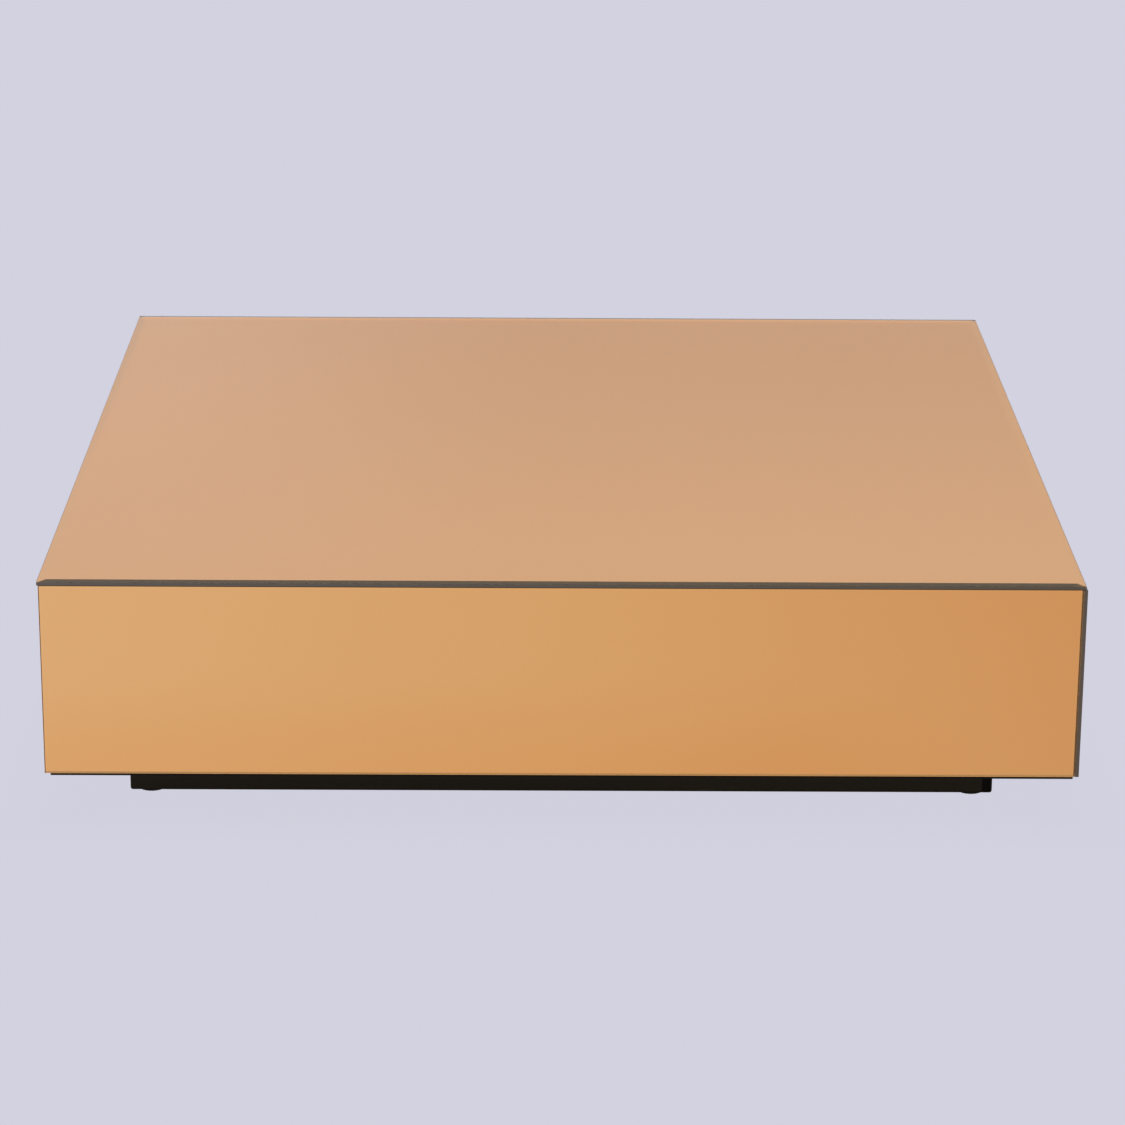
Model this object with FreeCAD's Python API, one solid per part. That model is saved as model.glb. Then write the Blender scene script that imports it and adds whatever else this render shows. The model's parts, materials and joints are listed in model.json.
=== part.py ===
"""A low square coffee table, as the loose pieces it is assembled from.

A hollow board carcass is clad in copper mirror glass and stands on a recessed black plinth
with four levelling feet. Millimetres, +Z up, -Y is the front. The origin is on the floor, in
the middle of the table. Each piece is written to parts/ as a STEP file under its own name.
"""
import FreeCAD, Part
import math
import os

Vector = FreeCAD.Vector
ORIGIN = Vector(0, 0, 0)
UP = Vector(0, 0, 1)

# ---------------------------------------------------------------- driving dimensions
TABLE_SIZE = 1000.0         # outside of the side mirrors, both ways
TABLE_HEIGHT = 245.0        # floor to the top of the top mirror, feet screwed home

GLASS = 4.0                 # every mirror's thickness
GLASS_SEAM = 0.4            # open seam where one mirror meets the next
ARRIS = 0.2                 # sharp edges of every mirror, just taken off
TOP_MIRROR_SHIFT = -1.5     # the top mirror sits this far off centre along X, to the left
BEVEL_WIDTH = 8.0           # shallow bevel round the top mirror
BEVEL_DROP = 0.6
CORNER_DUB = 0.8            # top mirror's corners, taken off so that they don't cut

SILVERING = 0.05            # silver and backing paint, left as a gap behind the glass
FILM = 0.2                  # safety film on a mirror's painted back
FILM_INSET = 6.0            # bare glass left round the film
BEAD = 0.75                 # adhesive bead, squeezed flat
BEAD_WIDTH = 20.0
BEAD_INSET = 25.0           # bead ends, in from the mirror's edge
TOP_BEAD_COUNT = 9
SIDE_BEAD_COUNT = 8

BOARD = 16.0                # carcass boards
REVEAL = 4.0                # carcass underside below the side mirrors' lower edges
RIB = 12.0                  # inner ribs
RIB_OFFSET = 160.0          # rib centrelines from the table's middle
LAP_PLAY = 0.2              # play in the ribs' half laps
GLUE_BLOCK_LEG = 40.0       # corner glue blocks, triangular
GLUE_BLOCK_CLEAR = 8.0      # their ends, clear of the boards above and below

DOWEL_RADIUS = 4.0
DOWEL_LENGTH = 30.0
DOWEL_IN_TOP = 10.0         # how far a dowel stands in the top board
DOWEL_POSITIONS = (-380.0, -240.0, -80.0, 80.0, 240.0, 380.0)

PLINTH_INSET = 74.0         # plinth face behind the mirror face
PLINTH_HEIGHT = 42.5
PLINTH_BOARD = 10.0
PLINTH_EASE = 2.5           # rounded outer edges
CORNER_BLOCK = 36.0         # square block in each plinth corner
MIDDLE_RAIL = 30.0
PLINTH_GLUE_BLOCK_LEG = 22.0
PLINTH_GLUE_BLOCK_LENGTH = 60.0
PLINTH_GLUE_BLOCK_POSITIONS = (-260.0, -100.0, 100.0, 260.0)

SCREW_RADIUS = 2.0
SCREW_HEAD_RADIUS = 4.0
SCREW_HEAD_DEPTH = 2.6
SCREW_TIP = 5.0
RECESS_SPAN = 4.4           # cross recess in a screw head
RECESS_WIDTH = 1.0
RECESS_DEPTH = 1.8
CARCASS_SCREW_LENGTH = 50.0
CARCASS_SCREW_POSITIONS = (-420.0, -200.0, 200.0, 420.0)
PLINTH_SCREW_LENGTH = 38.0
PLINTH_SCREW_SINK = 16.5    # plinth screw heads, up their counterbores
COUNTERBORE_RADIUS = 5.5
RAIL_SCREW_POSITIONS = (-300.0, -100.0, 100.0, 300.0)

FOOT_GAP = 3.5              # floor to the plinth's underside
FOOT_INSET = 20.0           # foot centre in from the plinth's outer faces
FOOT_STOP_GAP = 0.3         # pad to plinth when the foot is screwed home
PAD_RADIUS = 14.0
PAD_FLOOR = 1.0             # thickness under the stud's head
PAD_EASE = 0.5
KEY_HOLE_RADIUS = 2.6       # hole in the pad, for the key that turns the stud
STUD_RADIUS = 3.95          # M8
STUD_HEAD_RADIUS = 6.9
STUD_HEAD = 1.45
STUD_LENGTH = 26.0          # above the head
HEAD_PLAY = 0.1             # head in its pocket, up and down
HEAD_SIDE_PLAY = 0.2
KEY_ACROSS_FLATS = 4.0
KEY_DEPTH = 4.0
INSERT_BORE = 4.0
INSERT_RADIUS = 5.5
INSERT_LENGTH = 13.0
INSERT_FLANGE_RADIUS = 8.0
INSERT_FLANGE = 1.0
FOOT_WELL_RADIUS = 5.0      # free bore above the insert
FOOT_WELL_TOP = 32.0        # height above the floor where that bore ends

# ---------------------------------------------------------------- worked-out levels and faces
HALF = TABLE_SIZE / 2
MIRROR = GLASS + SILVERING                      # face of the glass to the painted back
CLADDING = MIRROR + FILM + BEAD
CARCASS = HALF - CLADDING                       # carcass outer faces, from the middle
CAVITY = CARCASS - BOARD                        # inner faces of the side boards
PLINTH = HALF - PLINTH_INSET                    # plinth outer faces
FOOT_CENTRE = PLINTH - FOOT_INSET

PLINTH_TOP = FOOT_GAP + PLINTH_HEIGHT           # also the carcass underside
CAVITY_FLOOR = PLINTH_TOP + BOARD
CARCASS_TOP = TABLE_HEIGHT - CLADDING
CAVITY_CEILING = CARCASS_TOP - BOARD
TOP_MIRROR_BASE = TABLE_HEIGHT - GLASS
SIDE_MIRROR_BASE = PLINTH_TOP + REVEAL
SIDE_MIRROR_TOP = TOP_MIRROR_BASE - GLASS_SEAM
PAD_TOP = FOOT_GAP - FOOT_STOP_GAP
STUD_BASE = PAD_FLOOR + HEAD_PLAY / 2
STUD_SHOULDER = STUD_BASE + STUD_HEAD

SIDES = {"front": 0, "right": 90, "rear": 180, "left": 270}     # turn about +Z from the front
CORNERS = {"front_left": (-1, -1), "front_right": (1, -1), "rear_left": (-1, 1), "rear_right": (1, 1)}


# ---------------------------------------------------------------- helpers
def save(shape, node):
    """Writes one piece, after checking that it is sound."""
    solids = shape.Solids
    if not solids or not shape.isValid():
        raise RuntimeError("bad shape: " + node)
    if len(solids) == 1:
        solids[0].exportStep("parts/" + node + ".step")
    else:
        Part.makeCompound(solids).exportStep("parts/" + node + ".step")
    print(f"{node:32s} {len(solids):3d} solid(s) {shape.Volume / 1000:10.2f} cm3")


def box(low, high):
    """A box between two opposite corners."""
    size = Vector(*high) - Vector(*low)
    return Part.makeBox(size.x, size.y, size.z, Vector(*low))


def prism(outline, height):
    """An outline of (x, y, z) corners, raised by height."""
    points = [Vector(*corner) for corner in outline]
    return Part.Face(Part.makePolygon(points + points[:1])).extrude(UP * height)


def turned(shape, degrees):
    """A copy turned about the table's vertical centreline."""
    copy = shape.copy()
    copy.rotate(ORIGIN, UP, degrees)
    return copy


def moved(shape, x, y, z=0.0):
    """A copy moved to a place."""
    copy = shape.copy()
    copy.translate(Vector(x, y, z))
    return copy


def cylinder(radius, low, high, x=0.0, y=0.0):
    """An upright cylinder between two levels."""
    return Part.makeCylinder(radius, high - low, Vector(x, y, low))


def lathe(profile):
    """A solid turned about +Z from (radius, z) corners."""
    points = [Vector(radius, 0, z) for radius, z in profile]
    return Part.Face(Part.makePolygon(points + points[:1])).revolve(ORIGIN, UP, 360)


def edges_where(shape, test):
    """The edges whose midpoint passes the test."""
    return [edge for edge in shape.Edges if test(edge.CenterOfMass)]


def near(a, b):
    return abs(a - b) < 0.01


def cut_all(shape, tools):
    """The shape with every tool taken out of it."""
    return shape.cut(Part.makeCompound(tools)) if tools else shape


# ---------------------------------------------------------------- mirrors and what holds them
def bevel_outline(inset, z):
    """The top mirror's outline at a level, with its dubbed corners."""
    low = -HALF + inset
    high = HALF - inset
    dub = CORNER_DUB
    corners = [
        (low + dub, low), (high - dub, low), (high, low + dub), (high, high - dub),
        (high - dub, high), (low + dub, high), (low, high - dub), (low, low + dub),
    ]
    return [(x + TOP_MIRROR_SHIFT, y, z) for x, y in corners]


def top_mirror():
    """A flat sheet with a shallow bevel round its upper side and a ground lower arris."""
    bevel_start = TABLE_HEIGHT - BEVEL_DROP
    sheet = prism(bevel_outline(0, TOP_MIRROR_BASE), bevel_start - TOP_MIRROR_BASE)
    lower = edges_where(sheet, lambda at: near(at.z, TOP_MIRROR_BASE))
    sheet = sheet.makeChamfer(ARRIS, lower)
    wires = []
    for inset, level in ((0, bevel_start), (BEVEL_WIDTH, TABLE_HEIGHT)):
        points = [Vector(*corner) for corner in bevel_outline(inset, level)]
        wires.append(Part.makePolygon(points + points[:1]))
    bevel = Part.makeLoft(wires, True, True)
    return sheet.fuse(bevel).removeSplitter()


def top_film():
    reach = HALF - FILM_INSET
    level = TABLE_HEIGHT - MIRROR
    film = box((-reach, -reach, level - FILM), (reach, reach, level))
    return moved(film, TOP_MIRROR_SHIFT, 0)


def flat_bead(length, thickness):
    """A bead of adhesive squeezed flat, along +Y from the origin, with round ends."""
    radius = BEAD_WIDTH / 2
    middle = box((-radius, radius, 0), (radius, length - radius, thickness))
    ends = [cylinder(radius, 0, thickness, 0, y) for y in (radius, length - radius)]
    return middle.fuse(ends).removeSplitter()


def evenly(count, low, high):
    """Count places from low to high, both included."""
    return [low + (high - low) * i / (count - 1) for i in range(count)]


def top_beads():
    bead = flat_bead(2 * (CARCASS - BEAD_INSET), BEAD)
    reach = CARCASS - BEAD_INSET - BEAD_WIDTH
    places = evenly(TOP_BEAD_COUNT, -reach, reach)
    return Part.makeCompound([moved(bead, x, -CARCASS + BEAD_INSET, CARCASS_TOP) for x in places])


def side_mirror():
    """The front mirror. Its left end reaches the corner, its right end stops at the next mirror."""
    right_end = HALF - GLASS - GLASS_SEAM
    pane = box((-HALF, -HALF, SIDE_MIRROR_BASE), (right_end, -HALF + GLASS, SIDE_MIRROR_TOP))
    return pane.makeChamfer(ARRIS, pane.Edges)


def side_film():
    reach = HALF - GLASS - FILM_INSET
    low = (-reach, -HALF + MIRROR, SIDE_MIRROR_BASE + FILM_INSET)
    high = (reach, -HALF + MIRROR + FILM, SIDE_MIRROR_TOP - FILM_INSET)
    return box(low, high)


def side_beads():
    """Upright beads between the front mirror's film and the front board."""
    bead = flat_bead(SIDE_MIRROR_TOP - SIDE_MIRROR_BASE - 2 * BEAD_INSET, BEAD)
    bead.rotate(ORIGIN, Vector(1, 0, 0), 90)
    reach = CARCASS - BEAD_INSET - BEAD_WIDTH
    places = evenly(SIDE_BEAD_COUNT, -reach, reach)
    return Part.makeCompound([moved(bead, x, -CARCASS, SIDE_MIRROR_BASE + BEAD_INSET) for x in places])


# ---------------------------------------------------------------- fasteners
def screw(length):
    """A countersunk wood screw, head down at the origin, point up."""
    profile = [
        (0, 0), (SCREW_HEAD_RADIUS, 0), (SCREW_RADIUS, SCREW_HEAD_DEPTH),
        (SCREW_RADIUS, length - SCREW_TIP), (0, length),
    ]
    return lathe(profile)


def cross_recess():
    half_span = RECESS_SPAN / 2
    half_width = RECESS_WIDTH / 2
    one = box((-half_span, -half_width, 0), (half_span, half_width, RECESS_DEPTH))
    other = box((-half_width, -half_span, 0), (half_width, half_span, RECESS_DEPTH))
    return one.fuse(other)


def around(positions, distance):
    """Places on all four sides, as far from the middle as given."""
    places = []
    for turn in SIDES.values():
        angle = math.radians(turn)
        for along in positions:
            x = along * math.cos(angle) + distance * math.sin(angle)
            y = along * math.sin(angle) - distance * math.cos(angle)
            places.append((x, y))
    return places


def dowel_places():
    return around(DOWEL_POSITIONS, CARCASS - BOARD / 2)


def carcass_screw_places():
    return around(CARCASS_SCREW_POSITIONS, CARCASS - BOARD / 2)


def block_screw_places():
    """One screw in each corner block, towards the table's middle from the foot."""
    reach = PLINTH - PLINTH_BOARD - CORNER_BLOCK + 2 * COUNTERBORE_RADIUS - 1
    return [(reach * x, reach * y) for x, y in CORNERS.values()]


def rail_screw_places():
    return [(0.0, y) for y in RAIL_SCREW_POSITIONS]


def dowels():
    low = CARCASS_TOP - BOARD - (DOWEL_LENGTH - DOWEL_IN_TOP)
    return [cylinder(DOWEL_RADIUS, low, low + DOWEL_LENGTH, x, y) for x, y in dowel_places()]


def screws(places, length, head_level):
    blank = screw(length)
    return [moved(blank, x, y, head_level) for x, y in places]


def carcass_screws():
    return screws(carcass_screw_places(), CARCASS_SCREW_LENGTH, PLINTH_TOP)


def plinth_screws():
    places = block_screw_places() + rail_screw_places()
    return screws(places, PLINTH_SCREW_LENGTH, FOOT_GAP + PLINTH_SCREW_SINK)


def with_recesses(blanks):
    """Screws with the cross recess cut in each head."""
    recess = cross_recess()
    done = []
    for blank in blanks:
        head = blank.BoundBox
        done.append(blank.cut(moved(recess, head.Center.x, head.Center.y, head.ZMin)))
    return Part.makeCompound(done)


# ---------------------------------------------------------------- carcass
def bottom_board():
    board = box((-CARCASS, -CARCASS, PLINTH_TOP), (CARCASS, CARCASS, CAVITY_FLOOR))
    return cut_all(board, carcass_screws() + plinth_screws())


def top_board():
    board = box((-CARCASS, -CARCASS, CAVITY_CEILING), (CARCASS, CARCASS, CARCASS_TOP))
    return cut_all(board, dowels())


def front_board():
    """Full width. The rear board is the same."""
    board = box((-CARCASS, -CARCASS, CAVITY_FLOOR), (CARCASS, -CAVITY, CAVITY_CEILING))
    return cut_all(board, dowels() + carcass_screws())


def left_board():
    """Between the front and rear boards. The right board is the same."""
    board = box((-CARCASS, -CAVITY, CAVITY_FLOOR), (-CAVITY, CAVITY, CAVITY_CEILING))
    return cut_all(board, dowels() + carcass_screws())


def rib(slot_low, slot_high):
    """A rib along X at the origin's Y, with two lap slots between the levels given."""
    body = box((-CAVITY, -RIB / 2, CAVITY_FLOOR), (CAVITY, RIB / 2, CAVITY_CEILING))
    half_slot = RIB / 2 + LAP_PLAY / 2
    slots = [
        box((x - half_slot, -RIB, slot_low), (x + half_slot, RIB, slot_high))
        for x in (-RIB_OFFSET, RIB_OFFSET)
    ]
    return cut_all(body, slots)


def glue_block(leg, length):
    """A triangular block standing at the origin, its right angle there."""
    return prism([(0, 0, 0), (leg, 0, 0), (0, leg, 0)], length)


def carcass_corner_block(turn):
    low = CAVITY_FLOOR + GLUE_BLOCK_CLEAR
    block = glue_block(GLUE_BLOCK_LEG, CAVITY_CEILING - GLUE_BLOCK_CLEAR - low)
    return turned(moved(block, -CAVITY, -CAVITY, low), turn)


# ---------------------------------------------------------------- plinth
def plinth_board():
    """The front board. Its left end reaches the corner, its right end stops at the next board."""
    board = box((-PLINTH, -PLINTH, FOOT_GAP), (PLINTH - PLINTH_BOARD, -PLINTH + PLINTH_BOARD, PLINTH_TOP))
    front_lower = edges_where(board, lambda at: near(at.y, -PLINTH) and near(at.z, FOOT_GAP))
    end_lower = edges_where(board, lambda at: near(at.x, -PLINTH) and near(at.z, FOOT_GAP))
    corner = edges_where(board, lambda at: near(at.x, -PLINTH) and near(at.y, -PLINTH))
    return board.makeFillet(PLINTH_EASE, front_lower + end_lower + corner)


def screw_wells(places):
    """Counterbores and free holes for the plinth screws."""
    sink = FOOT_GAP + PLINTH_SCREW_SINK
    wells = [cylinder(COUNTERBORE_RADIUS, FOOT_GAP, sink, x, y) for x, y in places]
    seats = screws(places, PLINTH_SCREW_LENGTH, sink)
    return wells + seats


def foot_well():
    """The bore for a foot's insert and stud, about the origin."""
    flange_top = FOOT_GAP + INSERT_FLANGE
    insert_top = FOOT_GAP + INSERT_LENGTH
    flange = cylinder(INSERT_FLANGE_RADIUS, FOOT_GAP, flange_top)
    body = cylinder(INSERT_RADIUS, flange_top, insert_top)
    free = cylinder(FOOT_WELL_RADIUS, insert_top, FOOT_WELL_TOP)
    return flange.fuse([body, free])


def plinth_corner_block(x, y):
    outer = PLINTH - PLINTH_BOARD
    inner = outer - CORNER_BLOCK
    xs = sorted((x * outer, x * inner))
    ys = sorted((y * outer, y * inner))
    block = box((xs[0], ys[0], FOOT_GAP), (xs[1], ys[1], PLINTH_TOP))
    foot = moved(foot_well(), x * FOOT_CENTRE, y * FOOT_CENTRE)
    return cut_all(block, [foot] + screw_wells(block_screw_places()))


def middle_rail():
    half = MIDDLE_RAIL / 2
    end = PLINTH - PLINTH_BOARD
    rail = box((-half, -end, FOOT_GAP), (half, end, PLINTH_TOP))
    return cut_all(rail, screw_wells(rail_screw_places()))


def plinth_glue_blocks():
    """Triangular blocks in the angle between the plinth boards and the bottom board."""
    leg = PLINTH_GLUE_BLOCK_LEG
    length = PLINTH_GLUE_BLOCK_LENGTH
    inner = -PLINTH + PLINTH_BOARD
    corner = Vector(0, inner, PLINTH_TOP)
    outline = [corner, corner + Vector(0, leg, 0), corner - UP * leg, corner]
    block = Part.Face(Part.makePolygon(outline)).extrude(Vector(length, 0, 0))
    blocks = []
    for turn in SIDES.values():
        blocks += [turned(moved(block, x - length / 2, 0), turn) for x in PLINTH_GLUE_BLOCK_POSITIONS]
    return Part.makeCompound(blocks)


# ---------------------------------------------------------------- levelling feet, about the origin
def foot_insert():
    """A flanged threaded sleeve, flush in the corner block's underside."""
    profile = [
        (INSERT_BORE, FOOT_GAP), (INSERT_FLANGE_RADIUS, FOOT_GAP),
        (INSERT_FLANGE_RADIUS, FOOT_GAP + INSERT_FLANGE), (INSERT_RADIUS, FOOT_GAP + INSERT_FLANGE),
        (INSERT_RADIUS, FOOT_GAP + INSERT_LENGTH), (INSERT_BORE, FOOT_GAP + INSERT_LENGTH),
    ]
    return lathe(profile)


def foot_stud():
    """A stud with a flat head and a hexagonal key socket in its lower end."""
    profile = [
        (0, STUD_BASE), (STUD_HEAD_RADIUS, STUD_BASE), (STUD_HEAD_RADIUS, STUD_SHOULDER),
        (STUD_RADIUS, STUD_SHOULDER), (STUD_RADIUS, STUD_SHOULDER + STUD_LENGTH - 1),
        (STUD_RADIUS - 1, STUD_SHOULDER + STUD_LENGTH), (0, STUD_SHOULDER + STUD_LENGTH),
    ]
    key_radius = KEY_ACROSS_FLATS / 2 / math.cos(math.radians(30))
    angles = [math.radians(60 * i) for i in range(6)]
    hexagon = [(key_radius * math.cos(a), key_radius * math.sin(a), STUD_BASE) for a in angles]
    return lathe(profile).cut(prism(hexagon, KEY_DEPTH))


def foot_pad():
    """A round pad with a pocket that holds the stud's head, so that it goes up and down with it."""
    pocket_radius = STUD_HEAD_RADIUS + HEAD_SIDE_PLAY
    lip_radius = STUD_RADIUS + HEAD_SIDE_PLAY + PAD_EASE
    pocket_top = STUD_SHOULDER + HEAD_PLAY / 2
    profile = [
        (KEY_HOLE_RADIUS, 0), (PAD_RADIUS - PAD_EASE, 0), (PAD_RADIUS, PAD_EASE),
        (PAD_RADIUS, PAD_TOP - PAD_EASE), (PAD_RADIUS - PAD_EASE, PAD_TOP), (lip_radius, PAD_TOP),
        (lip_radius, pocket_top), (pocket_radius, pocket_top), (pocket_radius, PAD_FLOOR),
        (KEY_HOLE_RADIUS, PAD_FLOOR),
    ]
    return lathe(profile)


# ---------------------------------------------------------------- the pieces
os.makedirs("parts", exist_ok=True)

save(top_mirror(), "top_mirror")
save(top_film(), "top_mirror_film")
save(top_beads(), "top_mirror_adhesive")
for side, turn in SIDES.items():
    save(turned(side_mirror(), turn), side + "_mirror")
    save(turned(side_film(), turn), side + "_mirror_film")
    save(turned(side_beads(), turn), side + "_mirror_adhesive")

save(top_board(), "top_board")
save(bottom_board(), "bottom_board")
save(front_board(), "front_board")
save(turned(front_board(), 180), "rear_board")
save(left_board(), "left_board")
save(turned(left_board(), 180), "right_board")

lap_level = (CAVITY_FLOOR + CAVITY_CEILING) / 2
cross_rib = rib(lap_level - LAP_PLAY / 2, CAVITY_CEILING)
long_rib = turned(rib(CAVITY_FLOOR, lap_level + LAP_PLAY / 2), 90)
save(moved(cross_rib, 0, -RIB_OFFSET), "front_rib")
save(moved(cross_rib, 0, RIB_OFFSET), "rear_rib")
save(moved(long_rib, -RIB_OFFSET, 0), "left_rib")
save(moved(long_rib, RIB_OFFSET, 0), "right_rib")

for corner, turn in {"front_left": 0, "front_right": 90, "rear_right": 180, "rear_left": 270}.items():
    save(carcass_corner_block(turn), corner + "_glue_block")
save(Part.makeCompound(dowels()), "carcass_dowels")
save(with_recesses(carcass_screws()), "carcass_screws")

for side, turn in SIDES.items():
    save(turned(plinth_board(), turn), "plinth_" + side + "_board")
save(middle_rail(), "plinth_middle_rail")
save(plinth_glue_blocks(), "plinth_glue_blocks")
save(with_recesses(plinth_screws()), "plinth_screws")

for corner, (x, y) in CORNERS.items():
    save(plinth_corner_block(x, y), "plinth_" + corner + "_block")
    save(moved(foot_insert(), x * FOOT_CENTRE, y * FOOT_CENTRE), corner + "_foot_insert")
    save(moved(foot_stud(), x * FOOT_CENTRE, y * FOOT_CENTRE), corner + "_foot_stud")
    save(moved(foot_pad(), x * FOOT_CENTRE, y * FOOT_CENTRE), corner + "_foot_pad")
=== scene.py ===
# %% [markdown]
# # A mirrored block coffee table
#
# The table is a flat board box clad in copper mirror glass, on a set-back black plinth with
# levelling feet. Every flat piece already comes from the CAD frame at its true size, so most of
# the work here is in the materials: glass that bends light over a silvered back, sprayed
# lacquer, board, timber and plated steel. A few pieces that the CAD model keeps plain, such as
# the threaded studs and the screws, are modelled again with their real detail.

# %% Load the frame and note its size
import bmesh
import bpy
import json
import math
from mathutils import Matrix, Vector


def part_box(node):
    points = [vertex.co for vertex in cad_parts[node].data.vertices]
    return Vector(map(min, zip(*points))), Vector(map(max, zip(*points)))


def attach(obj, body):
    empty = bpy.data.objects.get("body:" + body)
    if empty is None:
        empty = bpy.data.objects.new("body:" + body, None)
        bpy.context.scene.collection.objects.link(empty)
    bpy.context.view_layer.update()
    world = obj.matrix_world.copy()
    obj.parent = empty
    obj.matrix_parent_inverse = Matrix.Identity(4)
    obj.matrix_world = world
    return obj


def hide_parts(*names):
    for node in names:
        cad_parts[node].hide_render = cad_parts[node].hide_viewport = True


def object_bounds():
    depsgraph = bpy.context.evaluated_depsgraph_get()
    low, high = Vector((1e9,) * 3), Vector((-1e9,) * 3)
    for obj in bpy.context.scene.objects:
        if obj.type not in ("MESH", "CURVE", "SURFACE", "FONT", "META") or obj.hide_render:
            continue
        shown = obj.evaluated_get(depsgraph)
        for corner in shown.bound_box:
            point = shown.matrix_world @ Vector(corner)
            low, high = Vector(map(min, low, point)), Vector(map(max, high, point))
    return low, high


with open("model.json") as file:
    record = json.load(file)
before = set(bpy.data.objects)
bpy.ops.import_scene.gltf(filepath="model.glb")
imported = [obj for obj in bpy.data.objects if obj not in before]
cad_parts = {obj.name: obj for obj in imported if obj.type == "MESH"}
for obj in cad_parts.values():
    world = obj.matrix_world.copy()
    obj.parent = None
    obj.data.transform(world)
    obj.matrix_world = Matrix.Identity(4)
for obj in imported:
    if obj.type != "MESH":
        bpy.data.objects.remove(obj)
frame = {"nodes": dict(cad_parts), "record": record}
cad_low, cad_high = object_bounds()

MM = 0.001
size = cad_high - cad_low
print("table", [round(v / MM, 1) for v in size], "mm,", len(frame["nodes"]), "nodes")

# %% [markdown]
# ## Shader maths
#
# A procedural finish is a small sum: take a noise, scale it, add it to a number. Wired by hand
# that is a dozen nodes for one line of arithmetic, so this class wraps a socket and lets Python's
# operators add the Math nodes. Anything else, such as a texture or a ramp, comes from one method
# that takes the node's type, its settings and what goes in its sockets.


# %% Wrap a shader socket
class Signal:
    """A node's output, which adds Math nodes when it is calculated with."""

    def __init__(self, tree, socket):
        self.tree = tree
        self.socket = socket

    def node(self, kind, settings=None, out=0, **inputs):
        """A new node of this kind. Sockets are named with _ for a space, or i0, i1 by place."""
        new = self.tree.nodes.new(kind)
        for name, value in (settings or {}).items():
            if name == "stops":
                set_stops(new.color_ramp, value)
            else:
                setattr(new, name, value)
        for name, value in inputs.items():
            by_place = name[0] == "i" and name[1:].isdigit()
            target = new.inputs[int(name[1:]) if by_place else name.replace("_", " ")]
            if isinstance(value, Signal):
                self.tree.links.new(value.socket, target)
            else:
                target.default_value = value
        return Signal(self.tree, new.outputs[out])

    def maths(self, operation, first, second=0.0):
        settings = {"operation": operation}
        return self.node("ShaderNodeMath", settings, i0=first, i1=second)

    def __add__(self, other):
        return self.maths("ADD", self, other)

    def __radd__(self, other):
        return self.maths("ADD", other, self)

    def __sub__(self, other):
        return self.maths("SUBTRACT", self, other)

    def __rsub__(self, other):
        return self.maths("SUBTRACT", other, self)

    def __mul__(self, other):
        return self.maths("MULTIPLY", self, other)

    def __rmul__(self, other):
        return self.maths("MULTIPLY", other, self)

    def split(self, axis):
        """One number of a vector: axis 0, 1 or 2."""
        return self.node("ShaderNodeSeparateXYZ", out=axis, Vector=self)

    def power(self, exponent):
        return self.maths("POWER", self, exponent)

    def above(self, level, softness):
        """0 below the level and 1 above it, with a soft step between."""
        settings = {"interpolation_type": "SMOOTHSTEP"}
        low, high = level - softness, level + softness
        return self.node("ShaderNodeMapRange", settings, Value=self, From_Min=low, From_Max=high)

    def noise(self, scale, detail=2.0, roughness=0.5, distortion=0.0):
        """Noise over this vector, from 0 to 1."""
        return self.node("ShaderNodeTexNoise", Vector=self, Scale=scale, Detail=detail,
                         Roughness=roughness, Distortion=distortion)

    def stretched(self, x, y, z):
        """This vector with each axis scaled."""
        return self.node("ShaderNodeMapping", Vector=self, Scale=(x, y, z))

    def blend(self, low, high):
        """A colour that goes from low to high as this goes from 0 to 1."""
        settings = {"data_type": "RGBA"}
        return self.node("ShaderNodeMix", settings, out=2, i0=self, i6=low, i7=high)


def set_stops(ramp, stops):
    """Sets a colour ramp's stops from (position, colour) pairs."""
    while len(ramp.elements) < len(stops):
        ramp.elements.new(1.0)
    for element, (position, colour) in zip(ramp.elements, stops):
        element.position = position
        element.color = colour


print("a signal can be asked for:", ", ".join(n for n in vars(Signal) if not n.startswith("_")))

# %% [markdown]
# ## A finish
#
# Each material is one Principled shader. `finish` makes it, sets the plain numbers on the
# shader's own sockets, and hands back the Object coordinates. On the table every object sits at
# the origin, so Object coordinates are metres from the middle of the floor under it, and a
# pattern keeps its true scale on every piece.


# %% Make one Principled material
def finish(name, **numbers):
    """A material with one Principled shader, and its Object coordinates."""
    material = bpy.data.materials.new(name)
    material.use_nodes = True
    tree = material.node_tree
    shader = next(n for n in tree.nodes if n.type == "BSDF_PRINCIPLED")
    for socket, value in numbers.items():
        shader.inputs[socket.replace("_", " ")].default_value = value
    place = tree.nodes.new("ShaderNodeTexCoord").outputs["Object"]
    return material, shader, Signal(tree, place)


def feed(shader, **signals):
    """Links signals to the shader's sockets."""
    for socket, signal in signals.items():
        signal.tree.links.new(signal.socket, shader.inputs[socket.replace("_", " ")])


def relief(height, depth, strength=1.0):
    """A bump from a height signal, depth metres from its 0 to its 1."""
    return height.node("ShaderNodeBump", Height=height, Distance=depth, Strength=strength)


def ready(material):
    """Says what a material is made of, and hands it on."""
    nodes = material.node_tree.nodes
    kinds = sorted({node.bl_label for node in nodes})
    print(f"{material.name:20s} {len(nodes):3d} nodes: {', '.join(kinds)}")
    return material


FINISHES = {}           # the plain finishes, by the record's material slots
slots = sorted({row["material_slot"] for row in frame["record"]["subparts"]})
print("slots to make a finish for:", ", ".join(slots))

# %% [markdown]
# ## Copper mirror glass
#
# A copper mirror is clear glass with a thin copper-coloured metal on its back. Light goes in
# through the polished face, bends, meets the metal, and comes out again. A plain metallic
# material would give the right colour, but not the dark line along the near edge: in the real
# sheet, light that comes in through the near bevel bounces between the two faces and never gets
# out. So the sheet is real glass here, and only its back is metal. A housekeeping cloth leaves
# faint streaks on the glass, and the silver varies a little from one end of the sheet to the
# other, so both get a slow noise.

# %% Polished glass
GLASS_INDEX = 1.52


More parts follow.
